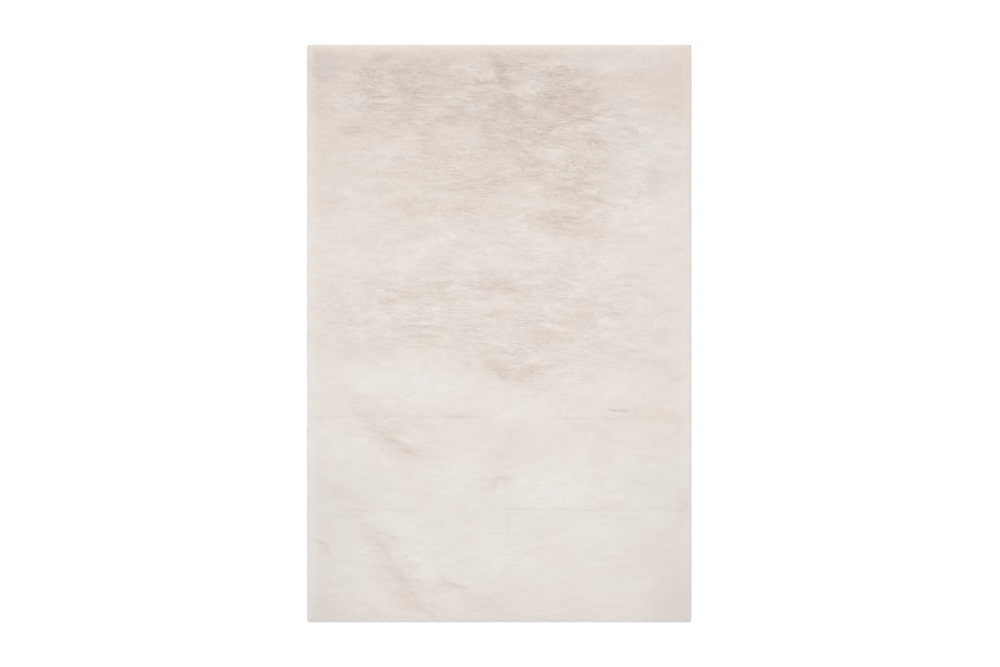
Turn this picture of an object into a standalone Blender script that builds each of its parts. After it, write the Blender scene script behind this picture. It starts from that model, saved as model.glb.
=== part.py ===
"""A plush shag rug lying flat, as one solid: a lumpy slab of pile with drooping locks round its rim.

Units are metres, +Z is up. The origin is the middle of the flat underside, +X runs across the rug and +Y
along it. Run it with blender --background --python part.py, or from Blender's text editor.
"""

import math
import random

import bmesh
import bpy
import numpy as np
from mathutils import Euler, Matrix, Vector, noise

# Overall size, over the tips of the locks.
WIDTH = 1.600
LENGTH = 2.400
PILE_HEIGHT = 0.0225  # floor to the pile's usual top

# The rim, where the pile leans out past the cut edge and rolls down to the floor.
LOCK_REACH = 0.009  # how far a lock stands out of the rolled pile
ROLL_WIDTH = 0.040  # how far in from the edge the pile starts to roll over
WIDEST_AT = 0.0055  # height of the pile's outermost line
UNDERCUT = 0.003  # the cut edge lies this far back under that line
EDGE_WANDER = 0.0014  # how far the edge strays from a straight line
EDGE_WANDER_LENGTH = 0.11
EDGE_WANDER_FADE = 8  # power by which the straying dies away inwards
BODY_WIDTH = WIDTH - 2 * LOCK_REACH
BODY_LENGTH = LENGTH - 2 * LOCK_REACH

# The grid that carries the top: close steps over the roll, wide ones inside it.
ROLL_STEPS = (0.0, 0.004, 0.011, 0.022)  # distance in from the edge
TOP_STEP = 0.054

# The pile's own unevenness: lumps drawn out across the rug, as brushed pile lies.
LUMP_HEIGHT = 0.0030
LUMP_ACROSS = 0.17
LUMP_ALONG = 0.10
SMALL_LUMP_HEIGHT = 0.0014
SMALL_LUMP_ACROSS = 0.085
SMALL_LUMP_ALONG = 0.060

# Where the pile is parted, pressed or swelled: an oval's middle (x, y), its half length and half width,
# its turn anticlockwise from +X in degrees, and the rise of its middle over the usual top.
SWELL_COLUMNS = ("x", "y", "half_length", "half_width", "turn", "rise")
SWELLS = (
    (-0.720, 1.090, 0.080, 0.075, 0, -0.0035),  # far left corner, trodden
    (-0.350, 1.040, 0.200, 0.075, 2, -0.0040),  # far left band
    (0.035, 1.020, 0.150, 0.045, 78, -0.0045),  # far furrow
    (0.150, 1.060, 0.110, 0.050, 85, 0.0030),  # swell beside the furrow
    (0.320, 0.960, 0.170, 0.080, 5, -0.0040),  # far right band
    (0.600, 0.840, 0.140, 0.130, 0, 0.0025),  # far right plain
    (0.060, 0.760, 0.260, 0.170, -5, -0.0035),  # heart of the pressed wedge
    (-0.580, 0.640, 0.190, 0.110, 5, 0.0020),  # left plain
    (0.310, 0.450, 0.200, 0.075, -8, -0.0040),  # right tongue of the wedge
    (-0.270, 0.330, 0.230, 0.060, 32, 0.0030),  # slanting swell, left of the middle
    (0.130, 0.370, 0.160, 0.060, -45, 0.0030),  # slanting swell, right of the middle
    (0.010, 0.180, 0.180, 0.060, 0, -0.0030),  # middle hollow
    (-0.300, 0.020, 0.200, 0.070, 0, -0.0025),  # ruffled hollow, left
    (0.250, 0.010, 0.200, 0.065, 10, -0.0030),  # ruffled hollow, right
    (0.060, -0.150, 0.170, 0.060, -22, -0.0040),  # near end of the wedge
    (-0.350, -0.210, 0.330, 0.085, -3, 0.0030),  # pale plain under it
    (0.130, -0.330, 0.240, 0.080, -8, 0.0025),
    (-0.430, -0.430, 0.200, 0.060, -42, -0.0042),  # slanting trough, upper
    (0.240, -0.620, 0.230, 0.120, 4, 0.0035),  # palest plain
    (0.450, -0.520, 0.150, 0.060, 82, -0.0028),
    (-0.680, -0.560, 0.180, 0.110, -40, 0.0025),
    (-0.430, -1.000, 0.260, 0.070, -56, -0.0042),  # slanting trough, lower
    (-0.220, -0.820, 0.200, 0.090, -50, 0.0028),
    (-0.060, -1.090, 0.180, 0.060, -12, -0.0030),
    (0.560, -1.020, 0.240, 0.130, 25, -0.0028),
    (0.200, -0.960, 0.160, 0.130, 80, 0.0020),
)
FOLD_LINE_Y = -0.340  # the line across the rug where it was once folded
FOLD_LINE_WIDTH = 0.030
FOLD_LINE_DEPTH = 0.0016

# The locks at the rim: three-sided, flat below and ridged above, tapered, drooping to the floor.
LOCK_SPACING = 0.0290
LOCK_WIDTH = 0.0270
LOCK_THICKNESS = 0.0090
LOCK_LENGTH = 0.0220
LOCK_TIP_SHARE = 0.27  # the tip's share of the root's width and thickness
LOCK_ROOT_HEIGHT = 0.0062  # of its axis, a third of the way up from its flat side
LOCK_TIP_HEIGHTS = (0.0014, 0.0040)
LOCK_SWAY = 7.0  # degrees to either side
LOCK_SHORTER = 0.0022  # how far the shortest tips fall back from the rim's line
CORNER_CLEAR = 0.039  # the first lock of a side stands this far from the corner
LONG_LOCK_EVERY = 4  # one lock in this many reaches the rim's line
CORNER_FAN = 20.0  # degrees that the locks beside a corner lean towards it
CORNER_FAN_FADE = 40  # power by which that lean dies away along a side

# Which slice of the noise each use of it reads.
LUMP_SLICE = 0.0
SMALL_LUMP_SLICE = 5.0
SIDE_SLICES = {1.0: 23.0, -1.0: 17.0}
END_SLICES = {1.0: 33.0, -1.0: 27.0}
SEED = 11

PILE_COLOUR = (0.76, 0.71, 0.66, 1.0)
PILE_ROUGHNESS = 0.95


def stations(size):
    """Where the grid lines lie along a side: the roll's steps at each end, even ones between them."""
    half = size / 2
    inner = half - ROLL_WIDTH
    steps = round(2 * inner / TOP_STEP)
    ends = half - np.array(ROLL_STEPS)
    return np.concatenate([-ends, np.linspace(-inner, inner, steps + 1), ends[::-1]])


def wave(x, y, across, along, part):
    """Smooth noise from about -1 to 1, with lumps of that size across and along the rug."""
    return noise.noise(Vector((x / across, y / along, part)))


def swell(x, y, row):
    """A soft oval hill or hollow: a bell curve over the oval's own two axes."""
    named = dict(zip(SWELL_COLUMNS, row))
    turn = math.radians(named["turn"])
    dx, dy = x - named["x"], y - named["y"]
    along = dx * math.cos(turn) + dy * math.sin(turn)
    beside = dy * math.cos(turn) - dx * math.sin(turn)
    far = (along / named["half_length"]) ** 2 + (beside / named["half_width"]) ** 2
    return named["rise"] * math.exp(-far)


def pile_top(x, y):
    """Height of the pile's top away from the rim."""
    top = PILE_HEIGHT + sum(swell(x, y, row) for row in SWELLS)
    top += LUMP_HEIGHT * wave(x, y, LUMP_ACROSS, LUMP_ALONG, LUMP_SLICE)
    top += SMALL_LUMP_HEIGHT * wave(x, y, SMALL_LUMP_ACROSS, SMALL_LUMP_ALONG, SMALL_LUMP_SLICE)
    return top - FOLD_LINE_DEPTH * math.exp(-(((y - FOLD_LINE_Y) / FOLD_LINE_WIDTH) ** 2))


def rolled(x, y):
    """Share of the pile's height left at a point: 1 inside, and a quarter round down to 0 at the edge."""
    inward = [
        min(1.0, (half - abs(place)) / ROLL_WIDTH)
        for half, place in ((BODY_WIDTH / 2, x), (BODY_LENGTH / 2, y))
    ]
    outward = min(1.0, math.hypot(*(1.0 - share for share in inward)))
    return math.sqrt(1.0 - outward**2)


def wandered(x, y):
    """The point moved a little, more towards the edge, so that no edge is ruler straight."""
    to_side, to_end = abs(x) / (BODY_WIDTH / 2), abs(y) / (BODY_LENGTH / 2)
    side_slice, end_slice = SIDE_SLICES[math.copysign(1.0, x)], END_SLICES[math.copysign(1.0, y)]
    sideways = EDGE_WANDER * wave(0.0, y, 1.0, EDGE_WANDER_LENGTH, side_slice)
    endways = EDGE_WANDER * wave(x, 0.0, EDGE_WANDER_LENGTH, 1.0, end_slice)
    return x + sideways * to_side**EDGE_WANDER_FADE, y + endways * to_end**EDGE_WANDER_FADE


def slab_mesh():
    """The pile's slab: a grid lifted to the pile's top and rolled down at the rim, over a flat underside."""
    across, along = stations(BODY_WIDTH), stations(BODY_LENGTH)
    columns, rows = len(across) - 1, len(along) - 1
    bm = bmesh.new()
    bmesh.ops.create_grid(bm, x_segments=columns, y_segments=rows, size=0.5)
    for vertex in bm.verts:
        x = across[round((vertex.co.x + 0.5) * columns)]
        y = along[round((vertex.co.y + 0.5) * rows)]
        z = WIDEST_AT + (pile_top(x, y) - WIDEST_AT) * rolled(x, y)
        vertex.co = (*wandered(x, y), z)

    rim = [edge for edge in bm.edges if edge.is_boundary]
    skirt = bmesh.ops.extrude_edge_only(bm, edges=rim)["geom"]
    for vertex in (item for item in skirt if isinstance(item, bmesh.types.BMVert)):
        vertex.co.x *= 1.0 - 2 * UNDERCUT / BODY_WIDTH
        vertex.co.y *= 1.0 - 2 * UNDERCUT / BODY_LENGTH
        vertex.co.z = 0.0
    bmesh.ops.contextual_create(bm, geom=[edge for edge in bm.edges if edge.is_boundary])
    bmesh.ops.recalc_face_normals(bm, faces=bm.faces)

    mesh = bpy.data.meshes.new("shag_rug")
    bm.to_mesh(mesh)
    bm.free()
    return mesh


def add_lock(bm, tip, heading):
    """Adds one lock to bm: a three-sided cone laid on its flat side, pointing out and a little down."""
    radius = 1.0 / math.sqrt(3.0)  # a three-sided cone of this radius is 1 wide
    fall = math.asin((LOCK_ROOT_HEIGHT - tip.z) / LOCK_LENGTH)
    aimed = Euler((0.0, fall, heading)).to_matrix()
    laid = Euler((math.pi / 2, 0.0, math.pi / 2)).to_matrix()  # its axis along +X and a ridge up
    middle = tip - aimed @ Vector((LOCK_LENGTH / 2, 0.0, 0.0))
    sized = Matrix.Diagonal((LOCK_WIDTH, LOCK_THICKNESS / (1.5 * radius), LOCK_LENGTH, 1.0))
    bmesh.ops.create_cone(
        bm,
        cap_ends=True,
        segments=3,
        radius1=radius,
        radius2=radius * LOCK_TIP_SHARE,
        depth=1.0,
        matrix=Matrix.Translation(middle) @ (aimed @ laid).to_4x4() @ sized,
    )


def side_places(rng):
    """(tip, heading) of the locks along the four sides, in one row for each, fanned a little at its ends."""
    places = []
    ends, sides = (LENGTH / 2, WIDTH / 2), (WIDTH / 2, LENGTH / 2)
    for (out, half_run), facing in ((sides, 0), (ends, 90), (sides, 180), (ends, 270)):
        turned = Matrix.Rotation(math.radians(facing), 4, "Z")
        first = half_run - CORNER_CLEAR
        count = round(2 * first / LOCK_SPACING) + 1
        for number, along in enumerate(np.linspace(-first, first, count)):
            fan = CORNER_FAN * (abs(along) / first) ** CORNER_FAN_FADE
            sway = LOCK_SWAY * rng.uniform(-1.0, 1.0) * (1.0 - fan / CORNER_FAN)
            heading = math.radians(math.copysign(fan, along) + sway)
            beside = LOCK_TIP_SHARE * LOCK_WIDTH / 2 * abs(math.sin(heading))
            back = beside + LOCK_SHORTER * rng.random() * (number % LONG_LOCK_EVERY > 0)
            beyond = along + LOCK_LENGTH * math.sin(heading)
            tip = Vector((out - back, beyond, rng.uniform(*LOCK_TIP_HEIGHTS)))
            places.append((turned @ tip, heading + math.radians(facing)))
    return places


def corner_places():
    """(tip, heading) of the lock in each corner, whose blunt tip touches both of the rim's lines."""
    beside = LOCK_TIP_SHARE * LOCK_WIDTH / 2 * math.sin(math.pi / 4)
    places = []
    for right, far in ((1, 1), (-1, 1), (-1, -1), (1, -1)):
        tip = Vector((right * (WIDTH / 2 - beside), far * (LENGTH / 2 - beside), LOCK_TIP_HEIGHTS[0]))
        places.append((tip, math.atan2(far, right)))
    return places


def locks_mesh(name, places):
    """A row of locks, as one mesh of separate closed shells."""
    bm = bmesh.new()
    for tip, heading in places:
        add_lock(bm, tip, heading)
    mesh = bpy.data.meshes.new(name)
    bm.to_mesh(mesh)
    bm.free()
    return mesh


def pile_material():
    """Matt ivory plush."""
    material = bpy.data.materials.new("ivory_pile")
    material.use_nodes = True
    shader = material.node_tree.nodes["Principled BSDF"]
    shader.inputs["Base Color"].default_value = PILE_COLOUR
    shader.inputs["Roughness"].default_value = PILE_ROUGHNESS
    shader.inputs["Metallic"].default_value = 0.0
    return material


def add_object(name, mesh, collection_name):
    """A new object in the collection of that name, which is made if it isn't there yet."""
    collection = bpy.data.collections.get(collection_name)
    if collection is None:
        collection = bpy.data.collections.new(collection_name)
        bpy.context.scene.collection.children.link(collection)
    obj = bpy.data.objects.new(name, mesh)
    collection.objects.link(obj)
    return obj


def main():
    for obj in list(bpy.data.objects):
        bpy.data.objects.remove(obj)

    rug = add_object("shag_rug", slab_mesh(), "shag_rug")
    rug.data.materials.append(pile_material())
    rug.data.shade_smooth()

    rows = {"side_locks": side_places(random.Random(SEED)), "corner_locks": corner_places()}
    for name, places in rows.items():
        locks = add_object(name, locks_mesh(name, places), "joined_to_the_rug")
        locks.hide_render = True
        locks.display_type = "WIRE"

        union = rug.modifiers.new(name, "BOOLEAN")
        union.operation = "UNION"
        union.solver = "EXACT"
        union.object = locks


main()
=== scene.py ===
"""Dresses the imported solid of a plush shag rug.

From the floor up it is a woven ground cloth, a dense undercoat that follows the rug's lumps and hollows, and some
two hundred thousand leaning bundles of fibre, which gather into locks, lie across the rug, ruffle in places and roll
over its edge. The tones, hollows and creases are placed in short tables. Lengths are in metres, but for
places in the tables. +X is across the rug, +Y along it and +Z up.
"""

import math

import bpy
import numpy as np
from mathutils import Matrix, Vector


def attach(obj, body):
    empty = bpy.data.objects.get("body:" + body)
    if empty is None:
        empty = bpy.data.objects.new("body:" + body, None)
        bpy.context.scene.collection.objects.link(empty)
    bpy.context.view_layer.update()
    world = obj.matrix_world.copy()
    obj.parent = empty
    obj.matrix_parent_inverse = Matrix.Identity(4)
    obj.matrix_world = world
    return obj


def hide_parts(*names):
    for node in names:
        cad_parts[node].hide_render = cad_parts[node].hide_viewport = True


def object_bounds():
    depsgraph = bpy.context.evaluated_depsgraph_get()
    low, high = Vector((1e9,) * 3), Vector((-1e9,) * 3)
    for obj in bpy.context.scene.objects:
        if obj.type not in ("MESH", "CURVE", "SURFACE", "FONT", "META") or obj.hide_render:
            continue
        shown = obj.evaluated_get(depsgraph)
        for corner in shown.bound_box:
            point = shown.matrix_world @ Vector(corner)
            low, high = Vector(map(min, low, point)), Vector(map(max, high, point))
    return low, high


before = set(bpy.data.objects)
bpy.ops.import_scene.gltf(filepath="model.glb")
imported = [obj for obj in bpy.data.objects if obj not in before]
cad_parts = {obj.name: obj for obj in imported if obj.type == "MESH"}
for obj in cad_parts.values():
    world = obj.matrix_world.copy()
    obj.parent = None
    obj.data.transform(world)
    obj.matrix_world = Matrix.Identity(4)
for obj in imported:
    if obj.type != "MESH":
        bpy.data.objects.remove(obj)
CAD_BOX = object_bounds()
NODE = "shag_rug"
BODY = "root"

bl_info = {
    "name": "Plush shag rug",
    "version": (1, 0, 0),
    "blender": (4, 5, 0),
    "location": "3D View > Sidebar > Shag rug",
    "description": "Builds a plush shag rug round its packed solid, and a plain studio to see it in",
    "category": "Add Mesh",
}

# ---- Where the pile is darker, cooler, lifted, pressed or creased. Places are read off the rug. ----


def placed(columns, rows):
    """The rows as dictionaries by column name. Places and widths are given in millimetres, and become metres."""
    plain = {"turn", "depth", "grey", "rise", "strength"}
    return [{name: at if name in plain else at / 1000 for name, at in zip(columns.split(), row)} for row in rows]


# Tones: a soft oval's middle, half length, half width, turn from +X in degrees, how much darker (below 0 paler) it
# is, and how grey (1) rather than sandy (0) its tone is. The darker ovals are painted shade, and the paler ones
# painted sheen, of the way the pile lies there.
SHADE_OVALS = placed("x y half_length half_width turn depth grey", (
    (-720, 1100, 60, 55, 0, 0.75, 0.7),
    (-400, 1110, 170, 40, 0, 0.4, 0.5),
    (-340, 990, 90, 70, -8, 0.65, 0.2),
    (-520, 910, 50, 45, 0, 0.3, 0.3),
    (-620, 840, 70, 20, 0, 0.25, 0.3),
    (20, 1030, 110, 30, 100, 0.6, 0.4),
    (240, 1075, 55, 22, 5, 0.45, 0),
    (290, 950, 150, 60, 0, 0.7, 0.1),
    (70, 920, 55, 40, -30, 0.45, 0.2),
    (170, 870, 70, 45, 0, 0.3, 0.1),
    (30, 800, 160, 100, -10, 0.35, 0),
    (-80, 950, 80, 60, 0, 0.3, 0.1),
    (-200, 880, 70, 30, 8, 0.4, 0),
    (160, 710, 60, 30, 10, 0.3, 0.1),
    (110, 650, 60, 45, 0, 0.45, 0),
    (-20, 640, 70, 35, 0, 0.35, 0.1),
    (270, 450, 150, 55, -6, 0.65, 0),
    (370, 420, 70, 30, 0, 0.3, 0.1),
    (300, 580, 110, 40, -4, 0.45, 0),
    (340, 680, 70, 40, 0, 0.25, 0.1),
    (640, 660, 40, 65, 0, 0.45, 0.8),
    (-670, 540, 50, 25, 0, 0.35, 0.2),
    (-380, 520, 60, 35, -15, 0.45, 0),
    (-140, 520, 150, 30, 0, 0.35, 0),
    (-100, 610, 110, 30, 0, 0.3, 0),
    (0, 190, 85, 30, -8, 0.65, 0),
    (20, 75, 100, 16, 4, 0.5, 0),
    (-220, 160, 60, 35, 0, 0.4, 0),
    (-440, 150, 70, 26, 22, 0.45, 0.1),
    (-270, 10, 55, 28, 0, 0.3, 0.1),
    (220, 0, 110, 30, 10, 0.5, 0),
    (340, 80, 28, 50, -20, 0.5, 0),
    (200, 200, 50, 30, 20, 0.25, 0.1),
    (0, -140, 85, 28, -38, 0.65, 0),
    (130, -150, 90, 24, 22, 0.55, 0),
    (600, 230, 70, 40, 0, 0.2, 0.2),
    (620, -80, 160, 120, 0, 0.12, 0.2),
    (690, -150, 55, 45, 0, 0.25, 0.4),
    (-620, -70, 120, 50, -12, 0.22, 0.2),
    (660, -350, 110, 85, 0, 0.25, 0.1),
    (-490, -410, 140, 28, -44, 0.5, 0.2),
    (-380, -490, 22, 16, -20, 0.75, 0.1),
    (-300, -370, 80, 42, 0, 0.2, 0.2),
    (60, -480, 100, 66, 0, 0.3, 0.1),
    (430, -450, 32, 70, 12, 0.38, 0.1),
    (480, -710, 50, 28, 0, 0.38, 0.1),
    (10, -610, 40, 26, 0, 0.3, 0.3),
    (-320, -660, 60, 28, -15, 0.3, 0.1),
    (-620, -680, 80, 30, -40, 0.25, 0.1),
    (-500, -880, 110, 36, -54, 0.42, 0.3),
    (-400, -1050, 140, 52, -56, 0.48, 0.3),
    (-730, -890, 40, 26, 40, 0.3, 0.4),
    (-200, -1040, 70, 16, -16, 0.4, 0.3),
    (-50, -1130, 110, 45, -8, 0.35, 0.4),
    (-740, -1130, 75, 70, 0, 0.4, 0.8),
    (740, -1080, 110, 150, 0, 0.45, 0.9),
    (760, -720, 28, 55, 0, 0.45, 0.5),
    (600, -900, 150, 50, 24, 0.22, 0.3),
    (640, 1070, 120, 50, 0, 0.15, 0.8),
    (460, 1130, 260, 60, 0, -0.35, 0.7),
    (500, 960, 110, 60, 0, -0.25, 0.6),
    (220, -910, 70, 45, 0, 0.2, 0),
    (-620, 960, 110, 70, 0, -0.25, 0.5),
    (-130, 1090, 65, 50, 0, -0.25, 0.6),
    (130, 1050, 45, 65, 0, -0.3, 0.6),
    (-150, 950, 70, 26, -20, -0.3, 0.4),
    (-130, 800, 60, 45, 0, -0.35, 0.3),
    (220, 745, 90, 28, 4, -0.3, 0.3),
    (450, 860, 50, 40, 0, -0.3, 0.6),
    (630, 790, 170, 110, 0, -0.48, 0.6),
    (600, 520, 130, 150, 0, -0.28, 0.4),
    (-450, 740, 130, 50, 0, -0.2, 0.4),
    (-360, 310, 140, 40, 36, -0.35, 0.2),
    (-240, 380, 90, 40, 10, -0.25, 0.2),
    (140, 370, 130, 44, -48, -0.4, 0.2),
    (450, 300, 90, 80, 0, -0.25, 0.3),
    (-680, 300, 80, 60, 0, -0.2, 0.2),
    (-360, 80, 130, 30, 6, -0.4, 0.2),
    (420, 60, 60, 55, 0, -0.18, 0.3),
    (-360, -210, 330, 80, -4, -0.45, 0.4),
    (300, -220, 130, 40, 0, -0.2, 0.3),
    (100, -320, 170, 50, 0, -0.3, 0.2),
    (-210, -580, 110, 60, 0, -0.25, 0.3),
    (230, -630, 180, 85, 3, -0.5, 0.4),
    (-670, -460, 90, 80, 0, -0.25, 0.7),
    (-400, -800, 130, 50, -14, -0.25, 0.3),
    (380, -820, 150, 40, 0, -0.2, 0.3),
    (-30, -900, 110, 70, 0, -0.2, 0.3),
    (-300, -980, 80, 30, -50, -0.2, 0.2),
))

# Swells: the pile's soft hills and hollows, as the solid has them. Their rise is in metres.
SWELLS = placed("x y half_length half_width turn rise", (
    (-720, 1090, 80, 75, 0, -0.0035),
    (-350, 1040, 200, 75, 2, -0.004),
    (35, 1020, 150, 45, 78, -0.0045),
    (150, 1060, 110, 50, 85, 0.003),
    (320, 960, 170, 80, 5, -0.004),
    (600, 840, 140, 130, 0, 0.0025),
    (60, 760, 260, 170, -5, -0.0035),
    (-580, 640, 190, 110, 5, 0.002),
    (310, 450, 200, 75, -8, -0.004),
    (-270, 330, 230, 60, 32, 0.003),
    (130, 370, 160, 60, -45, 0.003),
    (10, 180, 180, 60, 0, -0.003),
    (-300, 20, 200, 70, 0, -0.0025),
    (250, 10, 200, 65, 10, -0.003),
    (60, -150, 170, 60, -22, -0.004),
    (-350, -210, 330, 85, -3, 0.003),
    (130, -330, 240, 80, -8, 0.0025),
    (-430, -430, 200, 60, -42, -0.0042),
    (240, -620, 230, 120, 4, 0.0035),
    (450, -520, 150, 60, 82, -0.0028),
    (-680, -560, 180, 110, -40, 0.0025),
    (-430, -1000, 260, 70, -56, -0.0042),
    (-220, -820, 200, 90, -50, 0.0028),
    (-60, -1090, 180, 60, -12, -0.003),
    (560, -1020, 240, 130, 25, -0.0028),
    (200, -960, 160, 130, 80, 0.002),
))

# Ruffles: where the locks are ruffled, so that creases run across the rug, and how much.
RUFFLES = placed("x y half_length half_width turn strength", (
    (-450, 1020, 300, 120, 0, 0.75),
    (100, 980, 280, 200, 0, 0.95),
    (380, 700, 220, 300, 0, 0.8),
    (-100, 620, 450, 280, 0, 0.5),
    (-200, 120, 500, 160, 6, 0.65),
    (280, 60, 300, 180, -4, 0.6),
    (50, -120, 200, 80, -15, 0.55),
    (-420, -420, 200, 80, -44, 0.4),
    (-400, -950, 260, 90, -54, 0.3),
))

# Single creases, from one point to another: how wide, and how much painted shade darkens the parting there (below 0
# painted light, paler where a lock lies on top).
SHADED_CREASES = placed("x0 y0 x1 y1 width depth", (
    (-790, -342, -100, -346, 5, 0.3),
    (-260, -344, -110, -346, 5, 0.45),
    (240, -352, 790, -350, 5, 0.28),
    (20, -728, 790, -732, 5, 0.28),
    (20, -738, 790, -742, 5, -0.2),
    (-680, -728, -300, -734, 5, 0.25),
    (34, -740, 30, -880, 6, 0.3),
    (95, -880, 92, -1030, 6, -0.35),
    (450, -316, 530, -318, 5, 1),
    (-450, -446, -420, -449, 6, 0.7),
    (-400, -485, -365, -495, 8, 0.6),
    (-20, -598, -22, -650, 6, 0.75),
    (-20, -596, 45, -604, 6, 0.6),
    (-770, -856, -725, -868, 6, 0.9),
    (-725, -868, -705, -925, 7, 0.6),
    (-300, -1150, -265, -1185, 8, 0.8),
    (-240, -1020, -140, -1055, 6, 0.6),
    (-430, -970, -310, -1150, 8, 0.35),
    (-410, -970, -290, -1150, 8, -0.35),
    (-520, -840, -450, -940, 8, 0.35),
    (-560, -500, -500, -560, 6, 0.2),
    (-755, 1100, -635, 1095, 6, 1),
    (-770, 1160, -750, 1120, 6, 0.6),
    (-580, 1096, -430, 1086, 6, 0.8),
    (-430, 1086, -360, 1080, 6, 0.8),
    (-530, 1130, -460, 1140, 8, 0.5),
    (-610, 1002, -550, 1008, 5, 0.7),
    (-560, 996, -490, 1002, 6, 0.6),
    (-540, 980, -450, 975, 6, 1),
    (-600, 1036, -550, 1034, 5, 0.45),
    (-490, 1030, -420, 1044, 5, 0.45),
    (-420, 1012, -310, 1016, 5, 0.5),
    (-300, 870, -240, 884, 7, 0.8),
    (-250, 892, -190, 890, 6, 0.9),
    (-195, 932, -165, 928, 7, 1.1),
    (-100, 1040, -30, 1036, 6, 0.9),
    (-210, 995, -110, 955, 6, -0.7),
    (-200, 972, -90, 925, 6, -0.7),
    (-200, 983, -120, 948, 5, 0.5),
    (-120, 885, -90, 840, 7, -0.5),
    (-460, 808, -410, 816, 6, 0.9),
    (-430, 798, -350, 802, 5, -0.45),
    (-460, 850, -420, 846, 5, 0.6),
    (-450, 866, -410, 862, 5, 0.6),
    (-520, 880, -480, 862, 6, 0.45),
    (-660, 827, -580, 832, 6, 0.7),
    (-650, 852, -560, 850, 5, 0.5),
    (-340, 830, -280, 820, 6, 0.6),
    (-340, 797, -250, 797, 5, 0.65),
    (-340, 780, -290, 777, 5, 0.8),
    (-340, 762, -300, 760, 5, 0.6),
    (-330, 745, -280, 744, 5, 0.6),
    (-330, 726, -280, 722, 5, 0.6),
    (-580, 770, -540, 765, 6, 0.7),
    (-745, 895, -735, 888, 7, 0.7),
    (-20, 1160, 0, 1100, 12, 0.95),
    (0, 1090, 35, 1010, 12, 1.1),
    (35, 985, 55, 940, 12, 1.1),
    (55, 940, 100, 885, 11, 1),
    (20, 1070, 70, 980, 8, -0.6),
    (170, 1145, 190, 1140, 8, 0.7),
    (260, 1135, 275, 1085, 8, 0.7),
    (200, 1068, 280, 1080, 10, 0.7),
    (310, 1062, 380, 1060, 6, 0.6),
    (300, 1030, 330, 990, 8, 0.6),
    (370, 965, 395, 1000, 7, 0.8),
    (190, 930, 220, 975, 8, 0.6),
    (520, 960, 570, 962, 5, 0.6),
    (430, 892, 510, 908, 5, 0.6),
    (420, 900, 500, 915, 5, -0.6),
    (400, 875, 440, 873, 6, 0.9),
    (510, 847, 560, 848, 6, 0.8),
    (555, 846, 567, 815, 7, 0.8),
    (500, 811, 540, 813, 6, 0.7),
    (360, 795, 440, 793, 8, 0.9),
    (330, 826, 400, 820, 7, 0.6),
    (370, 870, 400, 835, 8, -0.5),
    (400, 768, 440, 770, 6, 0.7),
    (370, 762, 400, 745, 6, -0.7),
    (450, 790, 510, 780, 5, 0.45),
    (540, 788, 570, 773, 5, 0.5),
    (700, 780, 730, 778, 6, 0.7),
    (650, 830, 670, 828, 6, 0.6),
    (710, 936, 740, 934, 6, 0.5),
    (330, 712, 345, 680, 7, 0.6),
    (345, 680, 430, 688, 6, 0.6),
    (360, 700, 460, 705, 6, 0.6),
    (330, 632, 380, 616, 6, 0.8),
    (380, 560, 460, 535, 6, 0.6),
    (330, 565, 420, 548, 6, 0.6),
    (230, 492, 300, 470, 6, 0.9),
    (280, 470, 340, 478, 6, 0.8),
    (240, 480, 330, 462, 5, -0.6),
    (130, 700, 180, 712, 8, 0.6),
    (40, 796, 80, 794, 7, 0.7),
    (-190, 635, 50, 628, 5, 0.4),
    (-200, 595, -60, 600, 5, 0.4),
    (-170, 518, -100, 516, 6, 0.5),
    (-490, 120, -410, 140, 7, 0.6),
    (-370, 140, -290, 175, 6, 0.6),
    (-300, 205, -200, 212, 5, 0.45),
    (-400, 80, -310, 88, 5, 0.5),
    (-390, 52, -290, 60, 5, 0.6),
    (-380, 34, -240, 26, 5, 0.6),
    (-380, 43, -250, 40, 5, -0.6),
    (-370, -6, -240, -14, 5, 0.6),
    (-360, 6, -240, 2, 5, -0.5),
    (-340, -36, -190, -62, 5, 0.6),
    (140, -72, 210, -36, 6, 0.5),
    (-60, -110, 30, -190, 9, 0.45),
    (360, 45, 390, 100, 7, 0.8),
    (380, 20, 410, 60, 7, 0.7),
    (400, 98, 450, 90, 7, -0.8),
    (410, 50, 460, 72, 7, -0.8),
    (430, 15, 460, 48, 7, -0.7),
    (460, 100, 500, 70, 7, 0.5),
    (400, -20, 420, 20, 7, 0.6),
))

# Noises: each is a sum of layers of (height, size of the lumps across, size along, seed, octaves).
NOISES = {
    "tone_shift_x": ((0.022, 0.10, 0.05, 100, 3), (0.030, 0.09, 0.014, 105, 1)),
    "tone_shift_y": ((0.018, 0.12, 0.035, 110, 3),),
    "mottle": ((0.10, 0.22, 0.12, 120, 3), (0.06, 0.07, 0.02, 130, 3)),
    "ruffled_mottle": ((0.30, 0.11, 0.020, 140, 3),),
    "ruffled_patches": ((0.6, 0.16, 0.09, 210, 3),),
    "lumps": ((0.0030, 0.17, 0.10, 301, 1), (0.0012, 0.085, 0.06, 302, 1)),
    "crease_wave": ((0.004, 0.05, 0.05, 400, 1),),
    "wander": ((1.0, 0.26, 0.13, 500, 3), (0.5, 0.06, 0.03, 510, 1)),
    "ruffle_wave": ((0.9, 0.120, 0.034, 600, 1), (0.6, 0.060, 0.017, 607, 1), (0.3, 0.035, 0.010, 614, 1)),
    "ruffle_bend": ((0.018, 0.14, 0.18, 650, 1),),
    "cut_sides": ((0.0010, 1.0, 0.09, 700, 1),),
    "cut_ends": ((0.0008, 0.09, 1.0, 710, 1),),
    "lock_bend_u": ((0.012, 0.045, 0.025, 800, 1),),
    "lock_bend_v": ((0.007, 0.080, 0.022, 810, 1), (0.003, 0.030, 0.012, 811, 1)),
}
NOISE_REACH = 2.0  # the noises cover this far from the rug's middle, each way

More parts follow.
